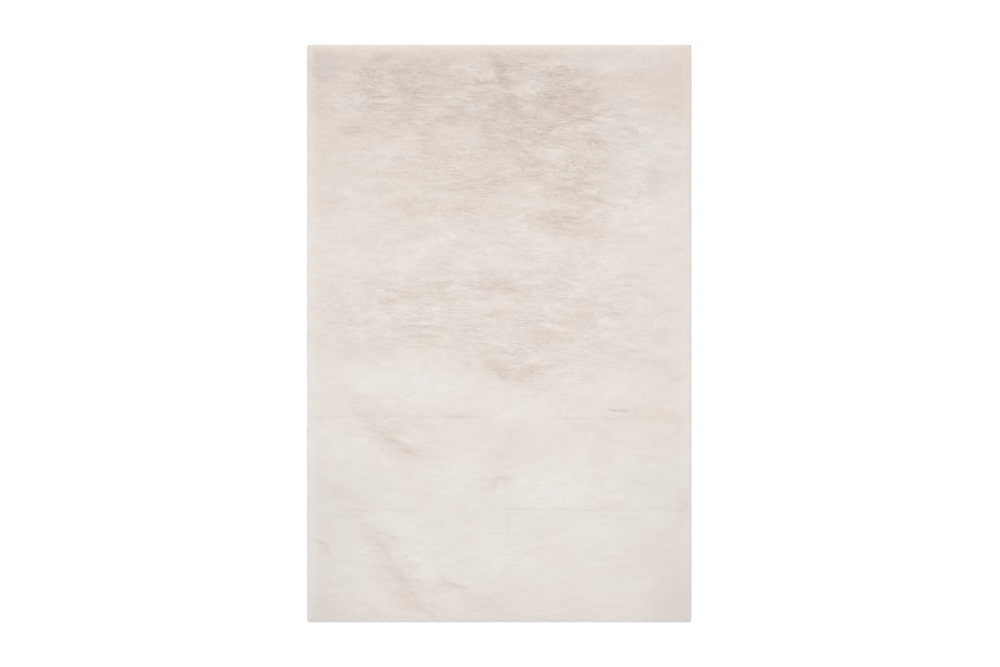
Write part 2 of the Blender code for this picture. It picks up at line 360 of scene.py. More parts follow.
CREASE_TAPER = 0.024  # length over which a crease begins or ends
DEEPEST, PALEST = 1.2, -1.0  # the most and the least painted shade that creases add together
SLOPE_SPAN = 0.002  # length over which the ruffles' slope is taken
TONE_EDGE, SOFT_EDGE = 2.6, 2.0  # sharpness of the edges of tones, and of swells and ruffles
NORMAL_STEP = 0.0015  # half the length over which the undercoat's normals are taken
CORNER_POWER = 8  # how square the roll's corners are: 2 is round
CORNER_DROP = 0.003  # how far the surface goes on down at a corner

TURN_FROM, TURN_LENGTH = 0.58, 0.20  # where the lie starts to turn round, across the rug, and over what length
LEAN_DOWN = 0.12  # radians by which the lie dips below straight across
END_BAND = 0.055  # within this far of the rug's ends the locks lie along it
BUNDLE_TURN, LOCK_TURN = 6.0, 36.0  # degrees by which a bundle, and a lively lock, turn aside
ROOT_DEPTH = 0.0008  # how far the roots are sunk in the undercoat
LOCK_RISE, LOCK_SINK = 0.0016, 0.0028  # how much whole locks differ in height, and how far the deepest drop
SLEEK_RISE, RUFFLED_RISE, ROLLED_RISE = 0.09, 0.93, 0.55  # of the tips, in coat depths: everywhere, and added there
LOCK_ROUND = 0.9  # how much lower a lock is at its sides: times a quarter at the very side
RIM_SHORTER = 0.30  # share by which the fibres are shorter at the rim
CREASE_RISE = 0.0008  # how far the fibres at a crease are lifted
LOWEST_TIP = 0.0010  # height of the lowest tips over the floor
RAGGED = 0.0007  # how unevenly the fibres end at the rim
RIM_SHADE, RIM_SHADE_GREY, RIM_SHARE = 0.42, 1.3, 0.8  # painted cool shade of the rolled rim: how dark and how grey, and the most of it that shows over the pile's own
RIM_RAMP = (0.35, 0.50)  # how far round the roll the rim's painted shade starts, and over what length it grows
LOCK_DEPTH, SUNK_SHADE, RISEN_LIGHT, SIDE_SHADE = 0.16, 0.70, 0.22, 0.40  # how much darker a lock is: at random, painted shade where sunk, painted light where lifted, painted shade at its sides
FLECK_FROM, FLECK_SPAN, FLECK_DEPTH = 1.6, 0.4, 0.30  # the few bundles that are darker by chance

TONE_SHARE = (0.348, 0.597)  # how much of the deep colour shows: the first times the tone's depth, plus the second
STRAND_SHADE = (0.18, 0.91)  # brightness of a strand: the first times its height, plus the second
ROOT_SHADE = (0.97, 0.92, 0.88)  # painted shade deep in the pile: what the colour is multiplied by at the root
GROUND_INSET = 0.009  # how far the pile rolls past the ground cloth's cut edge
COAT_INSET, COAT_GAP = 0.003, 0.0002  # the undercoat's foot: in from its outermost line, and over the ground cloth
COAT_STRAND = [150.0, 900.0, 150.0]  # strands to a metre on the undercoat, along each axis

PICTURE_WIDTH = 1000
RUG_MIDDLE_PIXEL = 499.2  # column of the rug's middle; its row is the picture's middle
FLOOR_REACH = 300.0  # half the floor's side, so that it meets the white of the dome far off
LAMP_TILT, LAMP_TURN, LAMP_SPREAD = 38.0, 24.0, 60.0  # degrees: from straight down, to the left, and its own width

# ---- What a user would change ----


def length_setting(name, default, description):
    """A property that holds a length in metres."""
    return bpy.props.FloatProperty(
        name=name, default=default, min=0.0, precision=4, subtype="DISTANCE", unit="LENGTH", description=description
    )


def share_setting(name, default, description):
    """A property that holds a plain number from 0 up."""
    return bpy.props.FloatProperty(name=name, default=default, min=0.0, precision=3, description=description)


def colour_setting(name, default, description):
    """A property that holds a linear colour."""
    return bpy.props.FloatVectorProperty(
        name=name, default=default, size=3, min=0.0, max=1.0, subtype="COLOR", description=description
    )


class RugSizes(bpy.types.PropertyGroup):
    """The rug's own sizes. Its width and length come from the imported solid."""

    width: length_setting("Width", CAD_BOX[1].x - CAD_BOX[0].x, "Across the rug, over the tips of the rim's locks")
    length: length_setting("Length", CAD_BOX[1].y - CAD_BOX[0].y, "Along the rug, over the tips of the rim's locks")
    pile_height: length_setting("Pile height", 0.0225, "From the floor to the pile's usual top")
    roll: length_setting("Roll", 0.040, "How far in from the edge the pile starts to roll over")
    rim_reach: length_setting("Rim reach", 0.004, "How far the rim's locks stand out of the rolled undercoat")
    widest_at: length_setting("Widest at", 0.0055, "Height of the undercoat's outermost line")
    ground_thickness: length_setting("Ground thickness", 0.0020, "Thickness of the woven ground cloth")
    coat_depth: length_setting("Coat depth", 0.0034, "How far the undercoat lies below the tips of the locks")


class PileSettings(bpy.types.PropertyGroup):
    """How the fibres are cut, how they gather into locks and how they lie."""

    spacing: length_setting("Spacing", 0.00430, "Between the roots of neighbouring bundles of fibre")
    fibre_length: length_setting("Fibre length", 0.0230, "From root to tip")
    fibre_width: length_setting("Fibre width", 0.0072, "Of a bundle of fibres, at the root")
    fibre_thickness: length_setting("Fibre thickness", 0.0006, "Of a bundle of fibres, at the root")
    lock_length: length_setting("Lock length", 0.0270, "Of the patch of pile that gathers into one lock")
    lock_width: length_setting("Lock width", 0.0140, "Of the patch of pile that gathers into one lock")
    gather: share_setting("Gather", 0.50, "Share by which tips are drawn in to their lock's middle line")
    meander: share_setting("Meander", 26.0, "Degrees by which the pile's lie wanders to either side")
    ruffle_rise: length_setting("Ruffle rise", 0.0026, "How far ruffled pile is lifted or sunk")
    unevenness: share_setting("Unevenness", 0.14, "Share by which single bundles differ from their neighbours")
    strips: bpy.props.IntProperty(name="Strips", default=5, min=1, description="Number of lengthways strips of pile")
    seed: bpy.props.IntProperty(name="Seed", default=7, description="Picks one of many like piles")


class PileColours(bpy.types.PropertyGroup):
    """The colours of the fibre, linear."""

    ivory: colour_setting("Ivory", (0.918, 0.915, 0.903), "The pile at its palest, lying sleek in full light")
    # Sand and pebble also stand for the painted shade of pile that stands up or is parted.
    sand: colour_setting("Sand", (0.726, 0.637, 0.572), "The pile at its deepest, standing up or parted")
    pebble: colour_setting("Pebble", (0.695, 0.650, 0.622), "The pile at its deepest where it looks grey")
    ground: colour_setting("Ground", (0.62, 0.57, 0.50), "The woven ground cloth")


class StudioSettings(bpy.types.PropertyGroup):
    """The plain studio."""

    dome: share_setting("Dome", 0.89, "Strength of the white light from all round")
    key: share_setting("Key", 0.155, "Light that the soft lamp adds on the floor, as a share of white")
    pixel: length_setting("Pixel", 4.15 / 1000, "Width of rug that one pixel of the picture shows")
    lens: bpy.props.FloatProperty(name="Lens", default=50.0, unit="CAMERA", description="Focal length")


class RugSettings(bpy.types.PropertyGroup):
    """Everything that can be set."""

    sizes: bpy.props.PointerProperty(type=RugSizes)
    pile: bpy.props.PointerProperty(type=PileSettings)
    colours: bpy.props.PointerProperty(type=PileColours)
    studio: bpy.props.PointerProperty(type=StudioSettings)


# ---- Fields over the rug: noise, ovals and lines ----


def unit_noise(x, y, across, along, seed):
    """Gradient noise, from about -1 to 1, with lumps across by along in size.

    Each knot of a grid has a random direction. A point blends, by 6f^5 - 15f^4 + 10f^3 on each axis, the four dot
    products of its offsets from the knots round it with the knots' directions.
    """
    random = np.random.default_rng(seed)
    knots = int(2 * NOISE_REACH / across) + 3, int(2 * NOISE_REACH / along) + 3
    turn = random.uniform(0.0, 2 * math.pi, knots)
    u, v = (x + NOISE_REACH) / across, (y + NOISE_REACH) / along
    i, j = np.floor(u).astype(int), np.floor(v).astype(int)
    fu, fv = u - i, v - j
    ease_u, ease_v = fu**3 * (6 * fu**2 - 15 * fu + 10), fv**3 * (6 * fv**2 - 15 * fv + 10)
    total = np.zeros(np.shape(fu))
    for a in (0, 1):
        for b in (0, 1):
            angle = turn[i + a, j + b]
            weight = (ease_u if a else 1 - ease_u) * (ease_v if b else 1 - ease_v)
            total += weight * (np.cos(angle) * (fu - a) + np.sin(angle) * (fv - b))
    return 1.5 * total


def noise(name, x, y, start=0.0):
    """The start plus the named noise. In a layer, each octave is half the size and half the height of the last."""
    for height, across, along, seed, octaves in NOISES[name]:
        finer = [2.0**octave for octave in range(octaves)]
        start = start + height * sum(
            unit_noise(x, y, across / by, along / by, seed + octave) / by for octave, by in enumerate(finer)
        )
    return start


def smooth_step(value):
    """0 below 0, 1 above 1, and 3f^2 - 2f^3 between."""
    f = np.clip(value, 0.0, 1.0)
    return f * f * (3 - 2 * f)


def ramp(value, start, length):
    """A smooth step from 0 at the start to 1 at that length after it."""
    return smooth_step((value - start) / length)


def ovals(x, y, rows, sharpness):
    """Yields each row with its oval's weight over the points: exp(-r^sharpness), r being 1 on the oval."""
    for row in rows:
        turn = math.radians(row["turn"])
        dx, dy = x - row["x"], y - row["y"]
        along = (dx * math.cos(turn) + dy * math.sin(turn)) / row["half_length"]
        beside = (dy * math.cos(turn) - dx * math.sin(turn)) / row["half_width"]
        yield row, np.exp(-((along**2 + beside**2) ** (sharpness / 2)))


def crease_shade(x, y, wider=0.0):
    """Painted shade of the creases' partings at each point, below 0 painted light: bell curves over distances from
    wavy lines.
    """
    total = np.zeros(np.shape(x))
    wave = noise("crease_wave", x, y)
    margin = 0.05
    for row in SHADED_CREASES:
        run = np.array([row["x1"] - row["x0"], row["y1"] - row["y0"]])
        length, width = float(np.hypot(*run)), row["width"] + wider
        run = run / length
        dx, dy = x - row["x0"], y - row["y0"]
        near = (np.abs(dx) < length + margin) & (np.abs(dy) < length + margin)
        dx, dy = dx[near], dy[near]
        along = dx * run[0] + dy * run[1]
        beside = dy * run[0] - dx * run[1] + wave[near]
        ends = smooth_step(along / CREASE_TAPER + 0.5) * smooth_step((length - along) / CREASE_TAPER + 0.5)
        total[near] += row["depth"] * ends * np.exp(-((beside / width) ** 2))
    return total.clip(PALEST, DEEPEST)


def ruffle_strength(x, y):
    """How ruffled the pile is: a little everywhere, more in the ruffled ovals, and uneven in itself."""
    calm, least, most = np.ones(np.shape(x)), 0.06, 1.2
    for row, weight in ovals(x, y, RUFFLES, SOFT_EDGE):
        calm = calm * (1.0 - row["strength"] * weight)
    patchy = noise("ruffled_patches", x, y, 0.75)
    return np.clip((least + (1.0 - least) * (1.0 - calm)) * patchy, 0.0, most)


def ruffle_wave(x, y):
    """The ruffles' own wave: noise several times longer across the rug than along it, bent by coarser noise."""
    return noise("ruffle_wave", x, noise("ruffle_bend", x, y, y))


def relief(x, y):
    """(height, slope): the ruffles' height, from about -1 to 1, and how much it changes over the slope's span."""
    strength, half = ruffle_strength(x, y), SLOPE_SPAN / 2
    return strength * ruffle_wave(x, y), strength * (ruffle_wave(x, y + half) - ruffle_wave(x, y - half))


def tone_and_shade_fields(x, y):
    """(depth, grey): how dark each point of the pile is, from about -0.6 to 1.2, and how grey that tone is.

    The darker ovals are painted shade, and the paler ones painted sheen, of the way the pile lies. The ovals' edges
    are broken by moving each point by noise that is longer across the rug. Where ovals meet, the darker ones hold, and
    the paler ones take away from what is left. The pile is darker towards both ends, the far end's being painted shade
    of the pile lying away, and towards the long sides and the near corners, and mottled at random. It is paler where
    it is ruffled, painted light against the ruffles' own shade, and greyer towards the near end and the sides.
    """
    moved_x, moved_y = noise("tone_shift_x", x, y, x), noise("tone_shift_y", x, y, y)
    left, pale, grey, total = np.ones(np.shape(x)), np.zeros(np.shape(x)), np.zeros(np.shape(x)), 1e-6
    for row, weight in ovals(moved_x, moved_y, SHADE_OVALS, TONE_EDGE):
        if row["depth"] > 0:
            left = left * (1.0 - row["depth"] * weight)
        else:
            pale = np.maximum(pale, -row["depth"] * weight)
        amount = abs(row["depth"]) * weight
        grey = grey + amount * row["grey"]
        total = total + amount
    far = 0.72 * ramp(y, 0.35, 0.75)
    near = 0.38 * ramp(-y, 0.95, 0.25) + 0.12 * ramp(np.abs(x), 0.55, 0.15)  # and the long sides
    near = near + 0.30 * ramp(np.abs(x), 0.45, 0.30) * ramp(-y, 0.35, 0.40)  # and the near corners
    mottle = noise("mottle", x, y) + ruffle_strength(x, y) * (noise("ruffled_mottle", x, y) - 0.40)
    plain_grey = 0.60 * ramp(-y, 0.30, 0.35) + 0.25 * ramp(np.abs(x), 0.35, 0.35)
    full = 0.4  # sum of depths from which the ovals' own greyness holds
    share = np.minimum(total, full) / full
    return (1.0 - left) - pale + far + near + mottle, share * grey / total + (1.0 - share) * plain_grey


# ---- The undercoat's surface ----


class Coat:
    """The undercoat's surface as a function of two lengths, u across and v along, measured over the roll.

    Inside the roll the point lies at (u, v). Over it, u and v go on round a quarter of an ellipse, so that the roots
    of the fibres stand as close there as anywhere.
    """

    def __init__(self, settings):
        sizes = settings.sizes
        self.half_x = sizes.width / 2 - sizes.rim_reach
        self.half_y = sizes.length / 2 - sizes.rim_reach
        self.roll = sizes.roll
        self.widest_at = sizes.widest_at
        self.top = sizes.pile_height - sizes.coat_depth
        drop = self.top - self.widest_at
        self.arc = math.pi / 2 * math.sqrt((self.roll**2 + drop**2) / 2)
        self.reach_u = self.half_x - self.roll + self.arc
        self.reach_v = self.half_y - self.roll + self.arc

    def over_roll(self, along, half):
        """(inside, sine): the part of a length inside the roll, and the sine of its angle round it, both signed."""
        inner = half - self.roll
        sine = np.sin(np.clip((np.abs(along) - inner) / self.arc, 0.0, 1.0) * math.pi / 2)
        return np.sign(along) * np.minimum(np.abs(along), inner), np.sign(along) * sine

    def height(self, x, y):
        """The undercoat's height away from the roll: the hills and hollows, and smaller lumps."""
        total = np.full(np.shape(x), self.top)
        for row, weight in ovals(x, y, SWELLS, SOFT_EDGE):
            total = total + row["rise"] * weight
        return noise("lumps", x, y, total)

    def at(self, u, v):
        """(points, rolled): points is (n, 3), and rolled is 0 inside and 1 at the outermost line.

        At a corner the two sines join as the eighth root of the sum of their eighth powers, which keeps it nearly
        square, and where that passes 1 the surface goes on straight down.
        """
        inside_x, sine_x = self.over_roll(u, self.half_x)
        inside_y, sine_y = self.over_roll(v, self.half_y)
        joined = (sine_x**CORNER_POWER + sine_y**CORNER_POWER) ** (1 / CORNER_POWER)
        rolled, past = np.minimum(joined, 1.0), np.maximum(joined, 1.0)
        x, y = inside_x + self.roll * sine_x / past, inside_y + self.roll * sine_y / past
        z = self.widest_at + (self.height(x, y) - self.widest_at) * np.sqrt(1.0 - rolled**2)
        most_past = 2.0 ** (1 / CORNER_POWER) - 1.0
        return np.stack([x, y, z - CORNER_DROP * (past - 1.0) / most_past], -1), rolled

    def normals(self, u, v):
        """Upward unit normals: the cross product of the surface's two slopes, taken over a short step."""
        step = NORMAL_STEP
        u, v = u.clip(step - self.reach_u, self.reach_u - step), v.clip(step - self.reach_v, self.reach_v - step)
        along_u = self.at(u + step, v)[0] - self.at(u - step, v)[0]
        along_v = self.at(u, v + step)[0] - self.at(u, v - step)[0]
        return unit(np.cross(along_u, along_v) + np.array([0.0, 0.0, 1e-9]))


def unit(vectors):
    """Each vector at length 1."""
    return vectors / np.maximum(np.linalg.norm(vectors, axis=-1, keepdims=True), 1e-12)


# ---- Meshes ----


def mesh_piece(name, points, face_sets, material):
    """A new object of that name. points is (n, 3), and each face set is an (m, corners) array of point numbers."""
    mesh = bpy.data.meshes.new(name)
    sizes = np.concatenate([np.full(len(faces), faces.shape[1]) for faces in face_sets])
    mesh.vertices.add(len(points))
    mesh.vertices.foreach_set("co", points.astype(np.float32).ravel())
    mesh.loops.add(int(sizes.sum()))
    mesh.loops.foreach_set("vertex_index", np.concatenate([faces.ravel() for faces in face_sets]).astype(np.int32))
    mesh.polygons.add(len(sizes))
    mesh.polygons.foreach_set("loop_start", (np.cumsum(sizes) - sizes).astype(np.int32))
    mesh.update(calc_edges=True)
    mesh.materials.append(material)
    piece = bpy.data.objects.new(name, mesh)
    bpy.context.scene.collection.objects.link(piece)
    return piece


def add_values(piece, **fields):
    """Stores one number for each vertex, under each field's name."""
    for name, values in fields.items():
        attribute = piece.data.attributes.new(name, "FLOAT", "POINT")
        attribute.data.foreach_set("value", np.broadcast_to(values, len(piece.data.vertices)).astype(np.float32))


def add_vectors(piece, name, values):
    """Stores one vector for each vertex, under that name. values is (n, 3)."""
    attribute = piece.data.attributes.new(name, "FLOAT_VECTOR", "POINT")
    attribute.data.foreach_set("vector", values.astype(np.float32).ravel())


def add_map(piece, name, places):
    """Stores a UV map: places is (corners, 2), in the order of the mesh's corners."""
    piece.data.uv_layers.new(name=name).uv.foreach_set("vector", places.astype(np.float32).ravel())


def slab(name, top, inset, floor, material):
    """A closed slab: a grid of points, (rows, columns, 3), over a flat bottom at the floor's height.

    The bottom's border lies under the grid's, moved in towards the middle by the inset, and a fan closes it.
    """
    rows, columns = top.shape[:2]
    number = np.arange(rows * columns).reshape(rows, columns)
    around = number[:-1, :-1], number[:-1, 1:], number[1:, 1:], number[1:, :-1]
    sheet = np.stack([part.ravel() for part in around], -1)
    border = np.concatenate([number[0, :-1], number[:-1, -1], number[-1, :0:-1], number[:0:-1, 0]])
    below = rows * columns + np.arange(len(border))
    after, after_below = np.roll(border, -1), np.roll(below, -1)
    walls = np.stack([below, after_below, after, border], -1)
    fan = np.stack([after_below, below, np.full(len(border), below[-1] + 1)], -1)
    points = top.reshape(-1, 3)
    foot = points[border] * [1.0 - inset / points[:, 0].max(), 1.0 - inset / points[:, 1].max(), 0.0]
    foot = np.concatenate([foot, np.zeros((1, 3))]) + [0.0, 0.0, floor]
    return mesh_piece(name, np.concatenate([points, foot]), [sheet, walls, fan], material)


def finish_piece(piece, *, replaces=False):
    """Sets a piece on the rug's body, and hides the imported solid when the piece replaces it."""
    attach(piece, BODY)
    if replaces:
        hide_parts(NODE)
    return piece


# ---- Materials ----


def fill_socket(tree, socket, value):
    """Sets an input: a socket given as the value is linked to it."""
    if isinstance(value, bpy.types.NodeSocket):
        tree.links.new(value, socket)
    else:
        socket.default_value = value


def add_node(tree, kind, **inputs):
    """A new node with its own settings and its inputs set, these by name or by number as i0, i1."""
    node = tree.nodes.new(kind)
    for key, value in inputs.items():
        if key in node.bl_rna.properties:
            setattr(node, key, value)
        else:
            number = key[0] == "i" and key[1:].isdigit()
            fill_socket(tree, node.inputs[int(key[1:]) if number else key], value)
    return node


def field_socket(tree, name, output="Fac"):
    """The output of an Attribute node that reads a stored field."""
    return add_node(tree, "ShaderNodeAttribute", attribute_name=name).outputs[output]


def math_socket(tree, operation, first, second, third=0.0):
    """The result of a Math node."""
    return add_node(tree, "ShaderNodeMath", operation=operation, i0=first, i1=second, i2=third).outputs[0]


def scaled_colour(tree, colour, scale):
    """The colour times a number."""
    return add_node(tree, "ShaderNodeVectorMath", operation="SCALE", i0=colour, Scale=scale).outputs[0]


def mixed_colour(tree, factor, first, second, clamped=True):
    """The result of a Mix node on two colours. Unless it is clamped, a factor over 1 goes on past the second."""
    inputs = {"i0": factor, "i6": first, "i7": second}
    return add_node(tree, "ShaderNodeMix", data_type="RGBA", clamp_factor=clamped, **inputs).outputs[2]


def opaque(colour):
    """A colour with full alpha."""
    return (*colour, 1.0)


def new_group(name, inputs, output):
    """(group, its inputs as seen inside it, its output as seen inside it). Both are given as {name: type}."""
    group = bpy.data.node_groups.new(name, "ShaderNodeTree")
    for in_out, sockets in (("INPUT", inputs), ("OUTPUT", output)):
        for socket, kind in sockets.items():
            group.interface.new_socket(name=socket, in_out=in_out, socket_type=f"NodeSocket{kind}")
    return group, group.nodes.new("NodeGroupInput").outputs, group.nodes.new("NodeGroupOutput").inputs[0]


def strand_group():
    """Node group of fine strands: a height that changes quickly across a bundle of fibres and slowly along it."""
    group, given, result = new_group("fine_strands", {"Place": "Vector"}, {"Height": "Float"})
    noise_node = add_node(group, "ShaderNodeTexNoise", Vector=given["Place"], Scale=1.0, Detail=2.0)
    group.links.new(noise_node.outputs["Fac"], result)


def fibre_group(colours):
    """Node group of the fibre's colour: ivory, deepening to sand or pebble with the tone and its painted shade, and
    with painted shade darker and warmer to the root.
    """
    inputs = {name: "Float" for name in ("Tone", "Grey", "Along", "Strand")}
    group, given, result = new_group("fibre_colour", inputs, {"Color": "Color"})
    deep = mixed_colour(group, given["Grey"], opaque(colours.sand), opaque(colours.pebble), clamped=False)
    share = math_socket(group, "MULTIPLY_ADD", given["Tone"], *TONE_SHARE)
    toned = mixed_colour(group, share, opaque(colours.ivory), deep)
    rooted = mixed_colour(group, given["Along"], opaque(ROOT_SHADE), (1.0, 1.0, 1.0, 1.0))
    warmed = add_node(group, "ShaderNodeVectorMath", operation="MULTIPLY", i0=toned, i1=rooted).outputs[0]
    streak = math_socket(group, "MULTIPLY_ADD", given["Strand"], *STRAND_SHADE)
    group.links.new(scaled_colour(group, warmed, streak), result)


def shared_groups(settings):
    """The node groups that the pile's materials share, built once."""
    groups = bpy.data.node_groups
    if "fine_strands" not in groups:
        strand_group()
        fibre_group(settings.colours)
    return groups["fine_strands"], groups["fibre_colour"]


def new_material(name, **finish):
    """(material, its tree, its Principled shader), with the shader's own sockets set; _ stands for a space."""
    material = bpy.data.materials.new(name)
    material.use_nodes = True
    shader = material.node_tree.nodes["Principled BSDF"]
    for socket, value in finish.items():
        shader.inputs[socket.replace("_", " ")].default_value = value
    return material, material.node_tree, shader


def surface(tree, shader, colour, height, strength, distance):
    """Gives the shader its colour, and a bump of that strength and depth from the height."""
    fill_socket(tree, shader.inputs["Base Color"], colour)
    bump = add_node(tree, "ShaderNodeBump", Strength=strength, Distance=distance, Height=height)
    fill_socket(tree, shader.inputs["Normal"], bump.outputs[0])


def pile_material(name, settings, bump):
    """Soft matt fibre: the stored tone, fine strands, a low bump and a faint sheen."""
    finish = {"Roughness": 0.9, "Specular_IOR_Level": 0.2, "Sheen_Weight": 0.15, "Sheen_Roughness": 0.6}
    material, tree, shader = new_material(name, **finish)
    strands, fibre = (add_node(tree, "ShaderNodeGroup", node_tree=group) for group in shared_groups(settings))
    fill_socket(tree, strands.inputs["Place"], field_socket(tree, "strand", "Vector"))
    for socket in ("Tone", "Grey", "Along"):
        fill_socket(tree, fibre.inputs[socket], field_socket(tree, socket.lower()))
    fill_socket(tree, fibre.inputs["Strand"], strands.outputs["Height"])
    surface(tree, shader, fibre.outputs["Color"], strands.outputs["Height"], bump, 0.001)
    return material


def ground_material(colours):
    """The woven ground cloth: two sets of threads that cross, each lifted by a wave, in a plain weave."""
    material, tree, shader = new_material("woven_ground", Roughness=0.95, Specular_IOR_Level=0.2)
    place = add_node(tree, "ShaderNodeTexCoord").outputs["Object"]
    waves = [
        add_node(tree, "ShaderNodeTexWave", wave_type="BANDS", bands_direction=axis, Scale=90.0, Vector=place)
        for axis in ("X", "Y")
    ]
    weave = math_socket(tree, "MAXIMUM", *(wave.outputs["Fac"] for wave in waves))
    soil = add_node(tree, "ShaderNodeTexNoise", Vector=place, Scale=9.0, Detail=4.0).outputs["Fac"]
    shade = math_socket(tree, "MULTIPLY_ADD", soil, 0.3, 0.75)
    threads = mixed_colour(tree, weave, opaque([0.7 * part for part in colours.ground]), opaque(colours.ground))
    surface(tree, shader, scaled_colour(tree, threads, shade), weave, 0.6, 0.0008)
    return material


# ---- The pile's fibres ----

BLADE_FACES = np.array([(0, 2, 1), (0, 1, 3), (1, 2, 3), (2, 0, 3)])
UPPER_FACES = slice(2, 4)
BLADE_STRAND = np.array([(0.0, 0.0, 0.0), (8.0, 0.0, 0.0), (4.0, 0.0, 0.0), (4.0, 2.5, 0.0)])
BLADE_CELL = np.array([(0.05, 0.05), (0.95, 0.05), (0.5, 0.25), (0.5, 0.95)])


def blades(roots, normals, tips, width, thickness):
    """Points of three-sided bundles, (n, 4, 3): two corners and a ridge at the root, and the tip.

    The root's corners lie half the width to either side, square to the way to the tip and to the surface's normal,
    and the ridge stands the thickness over them.
    """
    aside = unit(np.cross(normals, tips - roots)) * (width / 2)[:, None]
    return np.stack([roots - aside, roots + aside, roots + normals * thickness, tips], 1)


def root_places(coat, spacing, random):
    """(u, v, share) of one root in each cell of a grid over the whole coat, moved at random inside its cell.

    share is how far across the rug its column of cells begins, from 0 to 1.
    """
    columns, rows = round(2 * coat.reach_u / spacing), round(2 * coat.reach_v / spacing)
    column, row = (part.ravel() for part in np.meshgrid(np.arange(columns), np.arange(rows), indexing="ij"))
    moved = random.uniform(0.02, 0.98, (2, columns * rows))
    u = ((column + moved[0]) / columns * 2 - 1) * coat.reach_u
    v = ((row + moved[1]) / rows * 2 - 1) * coat.reach_v
    return u, v, column / columns


def lock_cells(u, v, length, width, random):
    """(along, beside, own): where each root lies in the patch of its lock, and three random numbers of the lock.

    The patches are laid like bricks in rows across the rug, each row started at random, and bent by noise. along and
    beside run from -0.5 to 0.5 over a patch.
    """
    rows, columns = 800, 400  # more than the rug needs, with number 0 far outside it
    across = noise("lock_bend_v", u, v, v) / width + rows / 2
    row = np.floor(across).astype(int)
    run = noise("lock_bend_u", u, v, u) / length + columns / 2 + random.uniform(0.0, 1.0, rows)[row]
    column = np.floor(run).astype(int)
    own = random.uniform(0.0, 1.0, (rows, columns, 3))[row, column]
    return run - column - 0.5, across - row - 0.5, own


def lie_of_pile(u, v, rolled, coat, pile):
    """(n, 2) vectors over the coat, across and along, of the way the fibres lean; 1 long where they lie right over.

    The pile lies across the rug towards -X, wandering by noise, and turns round through -Y to +X by the right edge.
    Over the roll it turns outwards. Where the two disagree the vector is short, and the fibres stand up.
    """
    wander = np.radians(pile.meander) * noise("wander", u, v)
    swept = wander + math.pi * (1.0 + ramp(u, TURN_FROM, TURN_LENGTH)) + LEAN_DOWN
    beyond_u = np.clip(np.abs(u) - (coat.half_x - coat.roll), 0.0, None)
    beyond_v = np.clip(np.abs(v) - (coat.half_y - coat.roll), 0.0, None)
    outward = unit(np.stack([np.sign(u) * beyond_u, np.sign(v) * beyond_v], -1))
    share = ramp(rolled, 0.0, 0.85)[:, None]
    lie = np.stack([np.cos(swept), np.sin(swept)], -1) * (1.0 - share) + outward * share
    shortest = 0.3
    return lie * np.maximum(1.0, shortest / np.maximum(np.linalg.norm(lie, axis=-1, keepdims=True), 1e-6))


def turned(vectors, angle):
    """Each (across, along) vector turned by its angle in radians."""
    across, along = vectors[:, 0], vectors[:, 1]
    cos, sin = np.cos(angle), np.sin(angle)
    return np.stack([across * cos - along * sin, across * sin + along * cos], -1)


